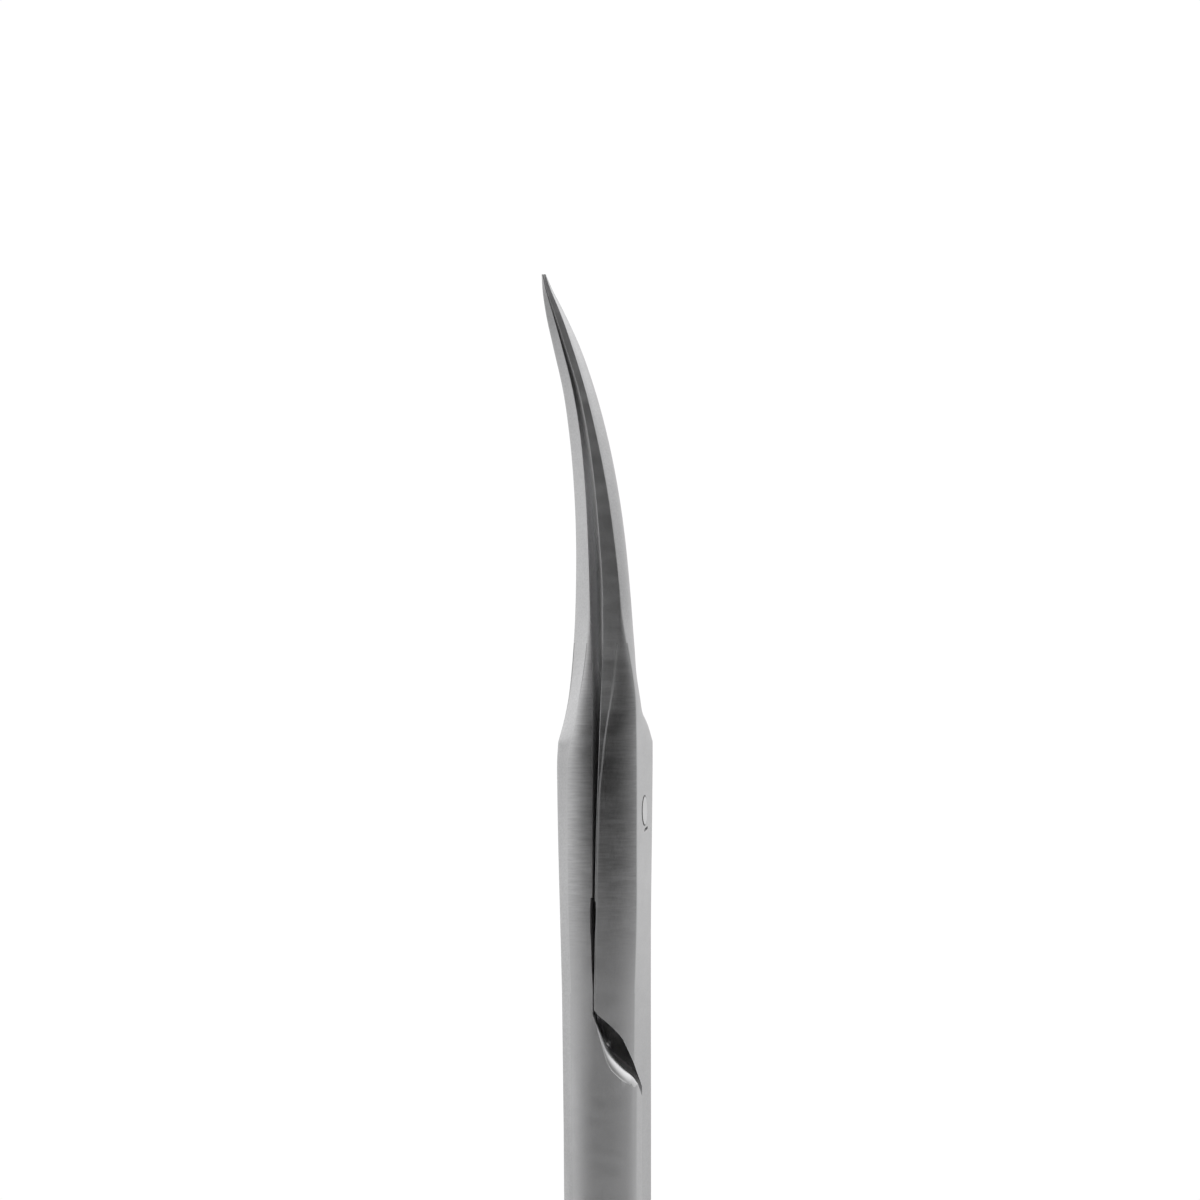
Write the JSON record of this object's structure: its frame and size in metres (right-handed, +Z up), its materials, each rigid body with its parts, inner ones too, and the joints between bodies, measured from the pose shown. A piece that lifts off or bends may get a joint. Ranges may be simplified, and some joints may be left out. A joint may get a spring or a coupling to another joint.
{
  "type": "cuticle scissors",
  "caption": "Fine-pointed curved cuticle scissors: forged satin-steel halves with finger rings that open and close about a flush pivot screw.",
  "frame": {"origin": "bottom centre of the closed tool's bounding box, under the finger rings", "axes": "+Z up the tool from the rings to the blade tips; X along the pivot screw's axis, -X the screw head's side and the side the tips curve to; Y across the finger rings, -Y the left half's ring"},
  "size_m": [0.0055, 0.0554, 0.1],
  "materials": {
    "blade_steel": "satin, finely ground across the joint's sides",
    "screw_steel": "satin, turned"
  },
  "bodies": {
    "right": {"right_half": "blade_steel", "pivot_screw": "screw_steel"},
    "left": {"left_half": "blade_steel"}
  },
  "joints": [
    {"name": "pivot", "type": "hinge", "parent": "right", "child": "left", "pos_m": [0.00061, 0, 0.072], "axis": [-1, 0, 0], "range_deg": [0, 60]}
  ]
}
